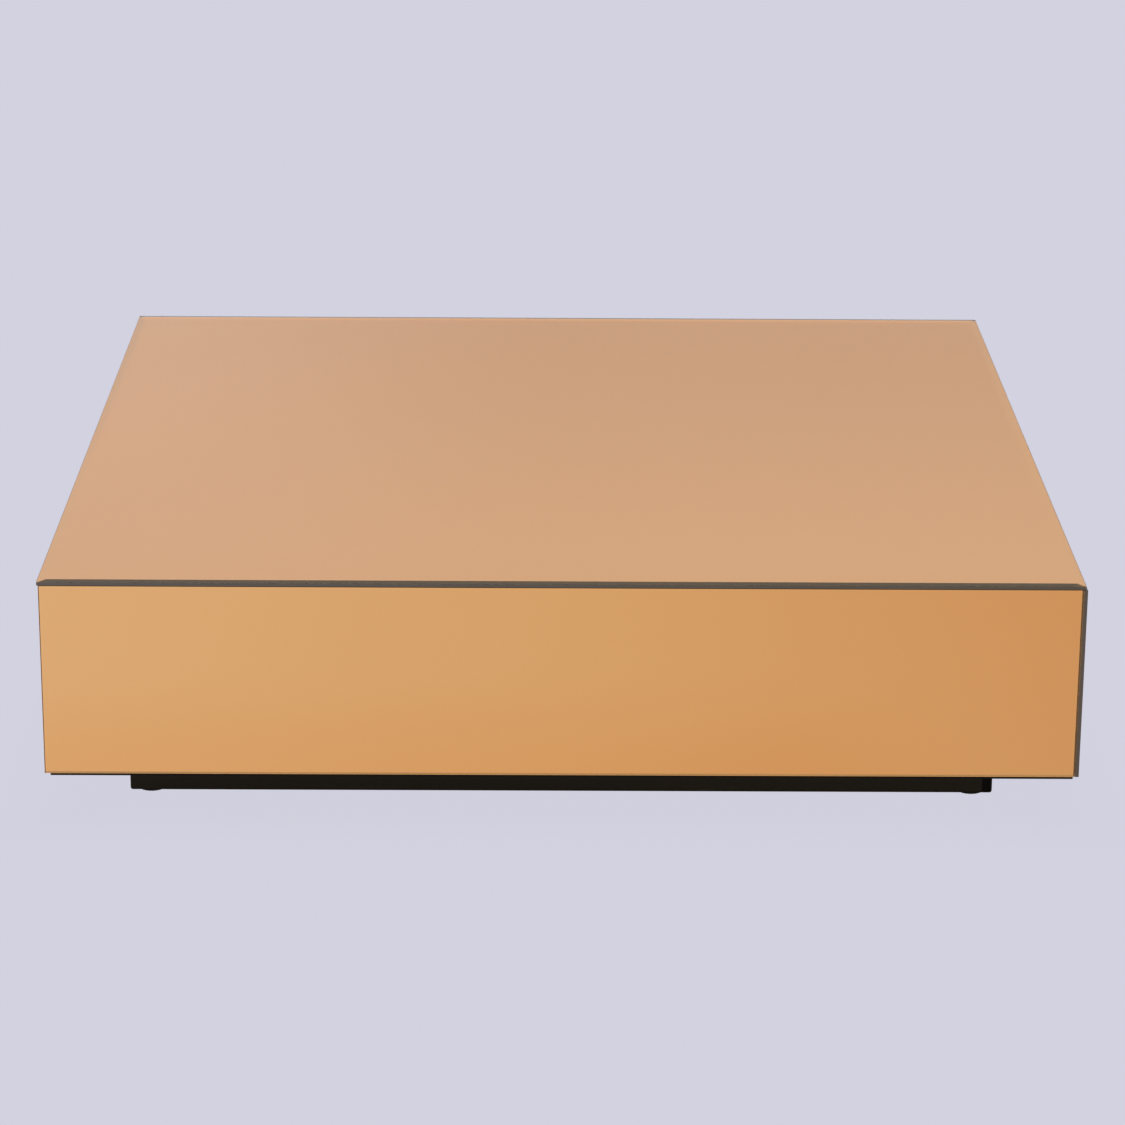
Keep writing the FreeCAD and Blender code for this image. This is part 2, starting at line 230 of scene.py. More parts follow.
def mirror_glass():
    material, shader, place = finish(
        "polished_glass", Base_Color=(0.985, 0.972, 0.955, 1), IOR=GLASS_INDEX,
        Transmission_Weight=1.0)
    streaks = place.stretched(3.0, 11.0, 3.0).noise(1.6, 4.0, 0.6, 0.8)
    feed(shader, Roughness=0.02 * streaks.above(0.62, 0.12))
    return material


glass_finish = ready(mirror_glass())


# %% Copper silvering
def silvering():
    material, shader, place = finish("copper_silvering", Metallic=1.0)
    clouds = place.noise(2.1, 3.0, 0.55)
    specks = place.noise(260.0, 2.0, 0.7).above(0.80, 0.02)
    copper = clouds.blend((0.950, 0.462, 0.140, 1), (0.970, 0.484, 0.152, 1))
    feed(shader,
         Base_Color=(0.35 * specks).blend(copper, (0.42, 0.20, 0.08, 1)),
         Roughness=0.02 + 0.03 * place.noise(5.0, 3.0) + 0.2 * specks,
         Normal=relief(place.noise(3.5, 1.0), 0.02 * MM, 0.4))
    return material


silver_finish = ready(silvering())


# %% Ground glass edge
def ground_edge():
    material, shader, place = finish("ground_glass_edge", IOR=GLASS_INDEX)
    wheel = place.stretched(1.0, 1.0, 6.0).noise(420.0, 3.0, 0.6)
    depth = place.noise(9.0, 2.0)
    feed(shader,
         Base_Color=depth.blend((0.088, 0.066, 0.046, 1), (0.118, 0.090, 0.064, 1)),
         Roughness=0.24 + 0.16 * wheel,
         Normal=relief(wheel, 0.03 * MM, 0.5))
    return material


edge_finish = ready(ground_edge())

# %% [markdown]
# ## Dress the mirrors
#
# The CAD sheets keep their meshes, so the three finishes are laid on by face. The one big face
# that looks inwards is silvered, and so are the arrises round it, because the silver is laid
# after the glass is cut. Of the sheet's cut edges, those that stay in sight are ground:
# all four of the top mirror, and one upright end of each side mirror, where it covers the end of
# its neighbour. The rest of the sheet is clear polished glass, so that light which reaches a
# hidden edge from inside is thrown back, and the copper looks whole right up to the rim.

# %% Give each mirror its three finishes
INWARD = {
    "top_mirror": Vector((0, 0, -1)), "front_mirror": Vector((0, 1, 0)),
    "right_mirror": Vector((-1, 0, 0)), "rear_mirror": Vector((0, -1, 0)),
    "left_mirror": Vector((1, 0, 0)),
}
ENDS_IN_SIGHT = {
    "top_mirror": [Vector((1, 0, 0)), Vector((-1, 0, 0)), Vector((0, 1, 0)), Vector((0, -1, 0))],
    "front_mirror": [Vector((-1, 0, 0))], "right_mirror": [Vector((0, -1, 0))],
    "rear_mirror": [Vector((1, 0, 0))], "left_mirror": [Vector((0, 1, 0))],
}
POLISHED, SILVERED, GROUND = 0, 1, 2
TOWARDS = math.cos(math.radians(60))        # a 45 degree arris still counts as facing a way
EDGEWAYS = math.cos(math.radians(84))


def mirror_part(normal, inward, ends):
    """Which finish a face takes, from where it faces."""
    if normal.dot(inward) > TOWARDS:
        return SILVERED
    on_the_edge = abs(normal.dot(inward)) < EDGEWAYS
    in_sight = any(normal.dot(end) > TOWARDS for end in ends)
    return GROUND if on_the_edge and in_sight else POLISHED


def dress_mirror(name, inward):
    mesh = frame["nodes"][name].data
    mesh.materials.clear()
    for material in (glass_finish, silver_finish, edge_finish):
        mesh.materials.append(material)
    counts = [0, 0, 0]
    for polygon in mesh.polygons:
        part = mirror_part(polygon.normal, inward, ENDS_IN_SIGHT[name])
        polygon.material_index = part
        counts[part] += 1
    print(f"{name:14s} polished {counts[POLISHED]}, silvered {counts[SILVERED]}, "
          f"ground {counts[GROUND]} triangles")


for name, inward in INWARD.items():
    dress_mirror(name, inward)

# %% [markdown]
# ## What holds the glass on
#
# Behind each mirror is a safety film, a plastic sheet with a scrim of threads in it that holds
# the pieces together if the glass breaks, and then flat beads of mirror adhesive. Both are only
# seen when the table is taken apart. The scrim is a sum of sharp sine ridges along each axis, so
# one material serves sheets that face any way.

# %% Safety film
THREAD_SPACING = 6 * MM


def safety_film():
    material, shader, place = finish("scrim_safety_film", Roughness=0.42)
    threads = 0.0
    for axis in range(3):
        phase = place.split(axis) * (math.pi / THREAD_SPACING)
        threads = phase.maths("SINE", phase).power(24.0) + threads
    cloth = threads + 0.25 * place.noise(700.0, 2.0)
    feed(shader,
         Base_Color=(0.6 * cloth).blend((0.74, 0.77, 0.79, 1), (0.86, 0.87, 0.86, 1)),
         Normal=relief(cloth, 0.12 * MM, 0.6))
    return material


FINISHES["safety_film"] = ready(safety_film())


# %% Mirror adhesive
def mirror_adhesive():
    material, shader, place = finish("combed_adhesive")
    combed = place.stretched(1.0, 1.0, 0.3).noise(90.0, 3.0, 0.6, 1.2)
    feed(shader,
         Base_Color=combed.blend((0.70, 0.68, 0.61, 1), (0.80, 0.78, 0.71, 1)),
         Roughness=0.38 + 0.25 * combed,
         Normal=relief(combed, 0.3 * MM))
    return material


FINISHES["mirror_adhesive"] = ready(mirror_adhesive())

# %% [markdown]
# ## Boards
#
# The carcass is fibreboard. Outside it is stained black-brown so that nothing light shows past
# the glass, and the lowest few millimetres of it are the thin dark line under the mirrors. The
# ribs inside are left bare. Fibreboard has no grain, only short felted fibres, so its pattern is
# a fine noise drawn out a little, with a few darker bundles.


# %% Stained and bare fibreboard
def fibreboard(name, dark, light, bundle, roughness, gloss):
    material, shader, place = finish(name, Specular_IOR_Level=gloss)
    felt = place.stretched(1.0, 1.0, 3.0).noise(650.0, 4.0, 0.65, 0.6)
    bundles = place.noise(330.0, 2.0, 0.5).above(0.66, 0.04)
    cast = place.noise(7.0, 2.0)
    body = (0.5 * felt + 0.5 * cast).blend(dark, light)
    feed(shader,
         Base_Color=bundles.blend(body, bundle),
         Roughness=roughness + 0.15 * felt,
         Normal=relief(felt, 0.08 * MM, 0.7))
    return material


FINISHES["carcass_board"] = ready(fibreboard(
    "stained_fibreboard", dark=(0.0075, 0.0034, 0.0013, 1), light=(0.0140, 0.0068, 0.0029, 1),
    bundle=(0.016, 0.009, 0.005, 1), roughness=0.70, gloss=0.2))
FINISHES["raw_board"] = ready(fibreboard(
    "bare_fibreboard", dark=(0.36, 0.235, 0.13, 1), light=(0.47, 0.325, 0.19, 1),
    bundle=(0.25, 0.15, 0.08, 1), roughness=0.78, gloss=0.4))

# %% [markdown]
# ## Timber
#
# The glue blocks and the plinth's rail are sawn pine. Its growth rings show as bands, light
# springwood running into a narrow darker summerwood, so the wave is shaped with a power before
# it is coloured. The dowels are beech, which shows no bands to speak of, only short dark flecks
# along its length.


# %% Pine
def pine():
    material, shader, place = finish("sawn_pine", Specular_IOR_Level=0.35)
    drift = place.stretched(1.0, 1.0, 0.4).noise(18.0, 2.0)
    across_the_grain = {"wave_type": "BANDS", "bands_direction": "DIAGONAL"}
    bands = place.node("ShaderNodeTexWave", across_the_grain, out=1, Vector=place, Scale=38.0,
                       Distortion=3.5, Detail=2.0, Detail_Scale=0.6)
    rings = bands.power(2.5)
    sawn = place.stretched(1.0, 1.0, 5.0).noise(520.0, 2.0, 0.6)
    summerwood = 0.75 * rings + 0.25 * drift
    feed(shader,
         Base_Color=summerwood.blend((0.64, 0.45, 0.25, 1), (0.50, 0.30, 0.14, 1)),
         Roughness=0.55 + 0.2 * sawn,
         Normal=relief(0.6 * sawn + 0.4 * rings, 0.15 * MM, 0.7))
    return material


FINISHES["pine"] = ready(pine())


# %% Beech
def beech():
    material, shader, place = finish("beech_dowel", Specular_IOR_Level=0.4)
    flecks = place.stretched(7.0, 7.0, 1.0).noise(420.0, 1.0).above(0.64, 0.05)
    cast = place.stretched(3.0, 3.0, 1.0).noise(60.0, 3.0)
    body = cast.blend((0.50, 0.32, 0.19, 1), (0.60, 0.41, 0.26, 1))
    feed(shader,
         Base_Color=flecks.blend(body, (0.40, 0.235, 0.125, 1)),
         Roughness=0.5 + 0.15 * cast,
         Normal=relief(flecks, 0.05 * MM, 0.5))
    return material


FINISHES["beech"] = ready(beech())

# %% [markdown]
# ## Black lacquer
#
# The plinth is sprayed satin black. Sprayed lacquer dries with orange peel, a soft pebbled
# relief a millimetre or two across. Near the floor it has been brushed by the vacuum cleaner:
# fine level scratches and a little dust, thickest in the lowest centimetre. At each corner one
# board's sawn end shows beside its neighbour's face. The end is given a finish of its own,
# duller and darker than the lacquer beside it.

# %% Lacquer for the plinth
FLOOR_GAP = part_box("plinth_front_board")[0].z
SCUFF_HEIGHT = 12 * MM


def black_lacquer():
    material, shader, place = finish("satin_black_lacquer", Specular_IOR_Level=0.26)
    height = place.split(2)
    low_down = 1.0 - height.above(FLOOR_GAP + SCUFF_HEIGHT / 2, SCUFF_HEIGHT / 2)
    scratches = place.stretched(1.0, 1.0, 60.0).noise(24.0, 4.0, 0.7).above(0.60, 0.03)
    dust = place.noise(1400.0, 1.0).above(0.70, 0.05)
    scuffs = low_down * (0.5 * scratches + 0.3 * dust)
    peel = place.noise(520.0, 1.0)
    tone = place.noise(6.0, 2.0).blend((0.0325, 0.0235, 0.0125, 1), (0.0410, 0.0300, 0.0168, 1))
    feed(shader,
         Base_Color=scuffs.blend(tone, (0.085, 0.076, 0.064, 1)),
         Roughness=0.34 + 0.10 * place.noise(11.0, 3.0) + 0.25 * scuffs,
         Normal=relief(peel, 0.04 * MM, 0.8))
    return material


FINISHES["black_lacquer"] = ready(black_lacquer())


# %% Lacquer on a sawn end
def lacquered_end():
    material, shader, place = finish("lacquered_end", Specular_IOR_Level=0.12)
    fibres = place.stretched(1.0, 1.0, 2.5).noise(800.0, 3.0, 0.65)
    feed(shader,
         Base_Color=fibres.blend((0.0070, 0.0060, 0.0040, 1), (0.0120, 0.0100, 0.0070, 1)),
         Roughness=0.62 + 0.2 * fibres,
         Normal=relief(fibres, 0.1 * MM, 0.8))
    return material


end_grain = ready(lacquered_end())

# %% [markdown]
# ## Fasteners and feet
#
# Screws, studs and inserts are zinc plated. Fresh zinc is a bluish grey metal with a faint
# straw-coloured bloom from its passivation, and the turned parts keep fine rings from the
# lathe. The foot pads are moulded nylon with a fine spark-eroded matt.


# %% Zinc-plated steel
def zinc_steel():
    material, shader, place = finish("zinc_plated_steel", Metallic=1.0)
    bloom = place.noise(160.0, 2.0, 0.5)
    rings = place.stretched(0.2, 0.2, 1.0).noise(2600.0, 2.0)
    feed(shader,
         Base_Color=bloom.above(0.5, 0.3).blend((0.60, 0.63, 0.66, 1), (0.68, 0.65, 0.56, 1)),
         Roughness=0.24 + 0.16 * bloom + 0.08 * rings,
         Normal=relief(rings, 0.01 * MM, 0.5))
    return material


FINISHES["zinc_steel"] = ready(zinc_steel())


# %% Black nylon
def black_nylon():
    material, shader, place = finish("black_nylon", Specular_IOR_Level=0.45)
    spark = place.noise(2300.0, 2.0, 0.6)
    worn = place.noise(45.0, 3.0)
    feed(shader,
         Base_Color=worn.blend((0.010, 0.010, 0.0098, 1), (0.017, 0.0165, 0.016, 1)),
         Roughness=0.42 + 0.18 * worn + 0.1 * spark,
         Normal=relief(spark, 0.02 * MM, 0.7))
    return material


FINISHES["black_plastic"] = ready(black_nylon())

# %% [markdown]
# ## Lay the finishes on
#
# The record gives every node a material slot, so one loop lays the plain finishes on. Then the
# plinth boards' ends get the dull one: the faces that look along a board's own length.

# %% Lay each finish on its nodes
for row in frame["record"]["subparts"]:
    slot, mesh = row["material_slot"], frame["nodes"][row["node"]].data
    if slot in FINISHES:
        mesh.materials.clear()
        mesh.materials.append(FINISHES[slot])
print(len(FINISHES), "plain finishes laid on", len(frame["nodes"]) - len(INWARD), "nodes")

# %% Dull the plinth boards' ends
PLINTH_LENGTHWAYS = {"front": 0, "rear": 0, "left": 1, "right": 1}      # 0 is X, 1 is Y
END_ON = 0.9            # how squarely a face must look along the board

for side, axis in PLINTH_LENGTHWAYS.items():
    mesh = frame["nodes"][f"plinth_{side}_board"].data
    mesh.materials.append(end_grain)
    for polygon in mesh.polygons:
        polygon.material_index = int(abs(polygon.normal[axis]) > END_ON)
    dulled = sum(polygon.material_index for polygon in mesh.polygons)
    print(f"plinth {side} board: {dulled} of {len(mesh.polygons)} triangles are sawn ends")

# %% [markdown]
# ## From a bmesh to a piece
#
# The CAD model keeps its small turned parts plain: a stud there is a smooth rod. The pieces that
# follow stand for those nodes with their real threads, sockets and flutes. Each is built about
# the Z axis with bmesh operators, moved to where the CAD node is, and then handed over here. The
# walls are smooth shaded, and only an edge that turns sharply keeps its crease.

# %% Hand a finished shape over
CREASE = math.radians(32)
WELD = 0.001 * MM           # points closer than this are one


def hand_over(shape, name, body, node, slot):
    """Makes the shape an object that rides on a body and stands for a CAD node."""
    bmesh.ops.recalc_face_normals(shape, faces=shape.faces)
    for face in shape.faces:
        face.smooth = True
    for edge in shape.edges:
        edge.smooth = edge.calc_face_angle(0.0) < CREASE
    open_edges = sum(not edge.is_manifold for edge in shape.edges)
    mesh = bpy.data.meshes.new(name)
    shape.to_mesh(mesh)
    shape.free()
    mesh.materials.append(FINISHES[slot])
    made = bpy.data.objects.new(name, mesh)
    bpy.context.scene.collection.objects.link(made)
    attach(made, body)
    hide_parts(node)
    print(f"{name:32s} {len(mesh.polygons):6d} faces, {open_edges} open edges")


print("edges that turn more than", round(math.degrees(CREASE)), "degrees stay sharp")

# %% [markdown]
# ## Turning and threading
#
# A turned part is half its section spun about Z. A thread is the same spin with a rise: if the
# section is one pitch repeated, and a whole turn lifts it by exactly one pitch, then the end of
# each turn meets the start of the next and the surface is one continuous helix. The ends come
# out ragged, so two cuts square them off and leave a clean loop to join the rest of the part to.
# Where a thread has to run out, its points are drawn in towards the axis instead.

# %% Spin a section
TURN_STEPS = 48


def turned(shape, section, steps=TURN_STEPS):
    """Adds a surface of (radius, height) points spun about Z."""
    before = set(shape.verts)
    points = [shape.verts.new((radius, 0, height)) for radius, height in section]
    lines = [shape.edges.new(pair) for pair in zip(points, points[1:])]
    bmesh.ops.spin(shape, geom=points + lines, cent=(0, 0, 0), axis=(0, 0, 1),
                   angle=math.tau, steps=steps, use_merge=True)
    made = [vert for vert in shape.verts if vert not in before]
    bmesh.ops.remove_doubles(shape, verts=made, dist=WELD)


def loop_at(shape, level, radius):
    """The open edges that lie at a level, within a radius."""
    found = []
    for edge in shape.edges:
        middle = (edge.verts[0].co + edge.verts[1].co) / 2
        if edge.is_boundary and abs(middle.z - level) < 2 * WELD and middle.xy.length < radius:
            found.append(edge)
    return found


def fill_between(shape, rim, hole):
    """Fills the flat ring between two loops of edges, whatever their outlines."""
    bmesh.ops.triangle_fill(shape, edges=rim + hole, use_beauty=True)


print("a turned part has", TURN_STEPS, "facets round it")

# %% Spin a thread
THREAD_STEPS = 24
SHARES = ((0.0, 0), (0.22, 0), (0.48, 1), (0.60, 1))      # share of a pitch, and 0 root or 1 crest


def thread(shape, root, crest, pitch, low, high):
    """Adds a right-handed threaded wall about Z, open at both ends, in phase with height 0."""
    own = bmesh.new()
    points = []
    for turn in range(math.floor(low / pitch) - 2, math.ceil(high / pitch) + 1):
        for share, is_crest in SHARES:
            radius = crest if is_crest else root
            points.append(own.verts.new((radius, 0, (turn + share) * pitch)))
    lines = [own.edges.new(pair) for pair in zip(points, points[1:])]
    bmesh.ops.spin(own, geom=points + lines, cent=(0, 0, 0), axis=(0, 0, 1), angle=math.tau,
                   dvec=(0, 0, pitch / THREAD_STEPS), steps=THREAD_STEPS)
    bmesh.ops.remove_doubles(own, verts=own.verts, dist=WELD)
    for level, outwards in ((low, -1), (high, 1)):
        everything = own.verts[:] + own.edges[:] + own.faces[:]
        bmesh.ops.bisect_plane(own, geom=everything, dist=WELD / 2, plane_co=(0, 0, level),
                               plane_no=(0, 0, outwards), clear_outer=True)
    wall = bpy.data.meshes.new("thread_wall")
    own.to_mesh(wall)
    own.free()
    shape.from_mesh(wall)
    bpy.data.meshes.remove(wall)


def keep_within(shape, level, radius, tip_level, tip_radius):
    """Tapers whatever is above a level towards a smaller radius at the tip."""
    for vert in shape.verts:
        if vert.co.z > level:
            share = min(1.0, (vert.co.z - level) / (tip_level - level))
            limit = radius + (tip_radius - radius) * share
            reach = vert.co.xy.length
            if reach > limit:
                vert.co.x *= limit / reach
                vert.co.y *= limit / reach


print("a thread has", THREAD_STEPS, "steps a turn and", len(SHARES), "points a pitch")

# %% [markdown]
# ## Levelling feet
#
# Each foot is an M8 stud whose flat head is caught in a nylon pad. A key through the pad's hole
# turns the stud in a threaded insert, which is let into the plinth's corner block. The thread of
# the stud and of the insert are cut in phase, and the joint moves the stud 1.25 mm a turn, so
# they stay in mesh all the way down.

# %% Sizes of the foot, from the frame
CORNERS = ("front_left", "front_right", "rear_left", "rear_right")
PITCH_M8 = 1.25 * MM

stud_low, stud_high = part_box("front_left_foot_stud")
pad_low, pad_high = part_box("front_left_foot_pad")
insert_low, insert_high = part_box("front_left_foot_insert")
HEAD_RADIUS = (stud_high.x - stud_low.x) / 2
PAD_RADIUS = (pad_high.x - pad_low.x) / 2
FLANGE_RADIUS = (insert_high.x - insert_low.x) / 2
print("stud head", round(2 * HEAD_RADIUS / MM, 1), "pad", round(2 * PAD_RADIUS / MM, 1),
      "insert flange", round(2 * FLANGE_RADIUS / MM, 1), "mm across")

# %% Stud
THREAD_CREST, THREAD_ROOT = 3.95 * MM, 3.32 * MM
THREAD_UNDERCUT = 0.6 * MM          # plain neck between the head and the thread
THREAD_CHAMFER = 1.0 * MM           # taken off the thread's far end
HEAD_THICK = 1.45 * MM
KEY_FLATS, KEY_DEPTH, KEY_DRILL_POINT = 4.0 * MM, 4.0 * MM, 0.5 * MM
KEY_CHAMFER_RADIUS = 0.75 * KEY_FLATS
EASE = 0.25 * MM                    # small rounding of a turned part's edges


def stud_shape():
    """The stud from its head up, with the key's hexagon sunk in the head."""
    shape = bmesh.new()
    base, shoulder, top = stud_low.z, stud_low.z + HEAD_THICK, stud_high.z
    thread_start = shoulder + THREAD_UNDERCUT
    turned(shape, [
        (KEY_CHAMFER_RADIUS, base), (HEAD_RADIUS - EASE, base), (HEAD_RADIUS, base + EASE),
        (HEAD_RADIUS, shoulder - EASE), (HEAD_RADIUS - EASE, shoulder), (THREAD_ROOT, shoulder)])
    thread(shape, THREAD_ROOT, THREAD_CREST, PITCH_M8, thread_start, top)
    neck = loop_at(shape, shoulder, THREAD_CREST) + loop_at(shape, thread_start, HEAD_RADIUS)
    bmesh.ops.bridge_loops(shape, edges=neck)
    keep_within(shape, top - THREAD_CHAMFER, THREAD_CREST, top, THREAD_CREST - THREAD_CHAMFER)
    bmesh.ops.holes_fill(shape, edges=loop_at(shape, top, THREAD_CREST), sides=0)
    add_key_socket(shape, base)
    return shape


def add_key_socket(shape, base):
    """Joins a hexagon to the head's open centre and sinks it, with a drilled point at its end."""
    corner = KEY_FLATS / 2 / math.cos(math.radians(30))
    made = bmesh.ops.create_circle(shape, cap_ends=False, segments=6, radius=corner)["verts"]
    bmesh.ops.translate(shape, verts=made, vec=(0, 0, base))
    rim = list({edge for vert in made for edge in vert.link_edges})
    centre = [edge for edge in loop_at(shape, base, HEAD_RADIUS) if edge not in rim]
    fill_between(shape, rim, centre)
    sunk = bmesh.ops.extrude_edge_only(shape, edges=rim)["geom"]
    verts = [item for item in sunk if isinstance(item, bmesh.types.BMVert)]
    bmesh.ops.translate(shape, verts=verts, vec=(0, 0, KEY_DEPTH))
    end = [item for item in sunk if isinstance(item, bmesh.types.BMEdge) and item.is_boundary]
    face = bmesh.ops.holes_fill(shape, edges=end, sides=0)
    bmesh.ops.poke(shape, faces=face["faces"], offset=KEY_DRILL_POINT)


print("stud thread", round(2 * THREAD_CREST / MM, 2), "mm over its crests,",
      round(PITCH_M8 / MM, 2), "mm pitch")

# %% Insert
SLEEVE_ROOT, SLEEVE_CREST, SLEEVE_PITCH = 4.8 * MM, 5.5 * MM, 2.5 * MM
SLEEVE_THREAD_GAP, SLEEVE_PILOT = 0.4 * MM, 0.8 * MM      # plain below and above its thread
FLANGE_THICK = 1.0 * MM
THREAD_PLAY = 0.09 * MM
MOUTH_DEPTH, MOUTH_FLARE = 0.5 * MM, 0.35 * MM            # countersink at each end of the bore


def insert_shape():
    """A sleeve threaded inside for the stud and outside for the block, with a thin flange."""
    shape = bmesh.new()
    low, top = insert_low.z, insert_high.z
    flange_top = low + FLANGE_THICK
    outer_start, outer_end = flange_top + SLEEVE_THREAD_GAP, top - SLEEVE_PILOT
    inner_low, inner_high = low + MOUTH_DEPTH, top - MOUTH_DEPTH
    mouth = THREAD_CREST + MOUTH_FLARE
    root, crest = THREAD_ROOT + THREAD_PLAY, THREAD_CREST + THREAD_PLAY
    thread(shape, root, crest, PITCH_M8, inner_low, inner_high)
    inner_ends = [loop_at(shape, level, FLANGE_RADIUS) for level in (inner_low, inner_high)]
    thread(shape, SLEEVE_ROOT, SLEEVE_CREST, SLEEVE_PITCH, outer_start, outer_end)
    outer_ends = [loop_at(shape, level, FLANGE_RADIUS) for level in (outer_start, outer_end)]
    turned(shape, [
        (mouth, low), (FLANGE_RADIUS - EASE, low), (FLANGE_RADIUS, low + EASE),
        (FLANGE_RADIUS, flange_top - EASE), (FLANGE_RADIUS - EASE, flange_top),
        (SLEEVE_ROOT, flange_top)])
    turned(shape, [(mouth, top), (SLEEVE_ROOT - EASE, top)])
    just_past_mouth = mouth + 0.5 * EASE
    for end, level, radius in (
            (inner_ends[0], low, just_past_mouth), (inner_ends[1], top, just_past_mouth),
            (outer_ends[0], flange_top, SLEEVE_CREST), (outer_ends[1], top, SLEEVE_CREST)):
        bmesh.ops.bridge_loops(shape, edges=end + loop_at(shape, level, radius))
    return shape


print("insert thread has", round(THREAD_PLAY / MM, 2), "mm play all round the stud's")

# %% Pad
GRIPS, GRIP_DEPTH = 24, 0.35 * MM
RIM_EASE, RIM_ROUND_STEPS = 0.5 * MM, 4
PAD_FLOOR, KEY_HOLE = 1.0 * MM, 2.6 * MM
POCKET_PLAY, POCKET_HEADROOM = 0.2 * MM, 0.05 * MM
LIP_PLAY, LIP_CHAMFER = 0.7 * MM, 0.3 * MM
GROOVES = (5.0 * MM, 7.5 * MM, 10.0 * MM)                  # radii of the underside's grooves
GROOVE_DEPTH, GROOVE_HALF, GROOVE_FLOOR_HALF = 0.2 * MM, 0.5 * MM, 0.3 * MM


def pad_shape():
    """A moulded pad: pocket for the stud's head, key hole, grooved underside and gripped rim."""
    shape = bmesh.new()
    top, pocket_top = pad_high.z, stud_low.z + HEAD_THICK + POCKET_HEADROOM
    pocket, lip = HEAD_RADIUS + POCKET_PLAY, THREAD_CREST + LIP_PLAY
    underside = [(KEY_HOLE, 0)]
    for middle in GROOVES:
        underside += [(middle - GROOVE_HALF, 0), (middle - GROOVE_FLOOR_HALF, GROOVE_DEPTH),
                      (middle + GROOVE_FLOOR_HALF, GROOVE_DEPTH), (middle + GROOVE_HALF, 0)]
    turned(shape, underside + rounded_rim(top) + [
        (lip + LIP_CHAMFER, top), (lip, top - LIP_CHAMFER), (lip, pocket_top),
        (pocket, pocket_top), (pocket, PAD_FLOOR), (KEY_HOLE, PAD_FLOOR), (KEY_HOLE, 0)],
        steps=4 * GRIPS)
    grip_rim(shape)
    return shape


def rounded_rim(top):
    """The pad's outer wall from its underside to its top, with a quarter round at each."""
    quarter = math.pi / 2
    points = []
    for centre, start in ((RIM_EASE, -quarter), (top - RIM_EASE, 0.0)):
        for step in range(RIM_ROUND_STEPS + 1):
            angle = start + quarter * step / RIM_ROUND_STEPS
            points.append((PAD_RADIUS - RIM_EASE + RIM_EASE * math.cos(angle),
                           centre + RIM_EASE * math.sin(angle)))
    return points


def grip_rim(shape):
    """Presses a shallow flute into the rim at every grip."""
    for vert in shape.verts:
        reach = vert.co.xy.length
        if reach > PAD_RADIUS - RIM_EASE:
            wave = math.cos(GRIPS * math.atan2(vert.co.y, vert.co.x))
            pressed = reach - GRIP_DEPTH * max(0.0, wave)
            vert.co.x *= pressed / reach
            vert.co.y *= pressed / reach


print("pad has", GRIPS, "grips round its rim and", len(GROOVES), "grooves underneath")


# %% Put a stud, an insert and a pad at each corner
def axis_of(low, high, level):
    """The point on a round solid's upright axis at a level."""
    return Vector(((low.x + high.x) / 2, (low.y + high.y) / 2, level))


def move_to(shape, node):
    """Moves a shape from the Z axis to a CAD node's own axis."""
    low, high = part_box(node)
    bmesh.ops.translate(shape, verts=shape.verts, vec=axis_of(low, high, 0.0))
    return shape


for corner in CORNERS:
    for part, make, body, slot in (
            ("stud", stud_shape, corner + "_stud", "zinc_steel"),
            ("insert", insert_shape, "table", "zinc_steel"),
            ("pad", pad_shape, corner + "_pad", "black_plastic")):
        node = f"{corner}_foot_{part}"
        hand_over(move_to(make(), node), f"{corner}_levelling_{part}", body, node, slot)

# %% [markdown]
# ## Wood screws
#
# A countersunk wood screw has a cross recess, a plain shank under the head and a sharp coarse
# thread that runs out to the point. The thread helper does the threaded length, and the point is
# made by pulling it in to a cone. One screw is made for each node and copied to every place where
# the node has a separate solid, which a walk along the mesh's edges finds.

# %% One wood screw, head down at the origin
SCREW_HEAD, SCREW_SHANK, SCREW_ROOT, SCREW_CREST = 4.0 * MM, 1.6 * MM, 1.3 * MM, 2.0 * MM
SCREW_HEAD_DEPTH, SCREW_PITCH, SCREW_RUN_IN = 2.6 * MM, 2.0 * MM, 0.4 * MM
SCREW_POINT, SCREW_TIP = 5.0 * MM, 0.1 * MM               # the point's length, and its end's radius
SCREW_PLAIN_SHARE, SCREW_FACETS = 0.34, 32
RECESS_REACH, RECESS_HALF, RECESS_DEPTH, RECESS_TAPER = 2.2 * MM, 0.5 * MM, 1.8 * MM, 0.45


def wood_screw(length):
    """A screw with its head's face at height 0, plain for its first third and then threaded."""
    shape = bmesh.new()
    thread_low = SCREW_PLAIN_SHARE * length
    shank_end = thread_low - SCREW_RUN_IN
    turned(shape, [(SCREW_HEAD - EASE, 0), (SCREW_HEAD, EASE), (SCREW_SHANK, SCREW_HEAD_DEPTH),
                   (SCREW_SHANK, shank_end)], steps=SCREW_FACETS)
    shank_loop = loop_at(shape, shank_end, SCREW_HEAD)
    thread(shape, SCREW_ROOT, SCREW_CREST, SCREW_PITCH, thread_low, length)
    bmesh.ops.bridge_loops(shape, edges=shank_loop + loop_at(shape, thread_low, SCREW_HEAD))
    keep_within(shape, length - SCREW_POINT, SCREW_CREST, length, SCREW_TIP)
    bmesh.ops.holes_fill(shape, edges=loop_at(shape, length, SCREW_HEAD), sides=0)
    add_cross_recess(shape)
    return shape


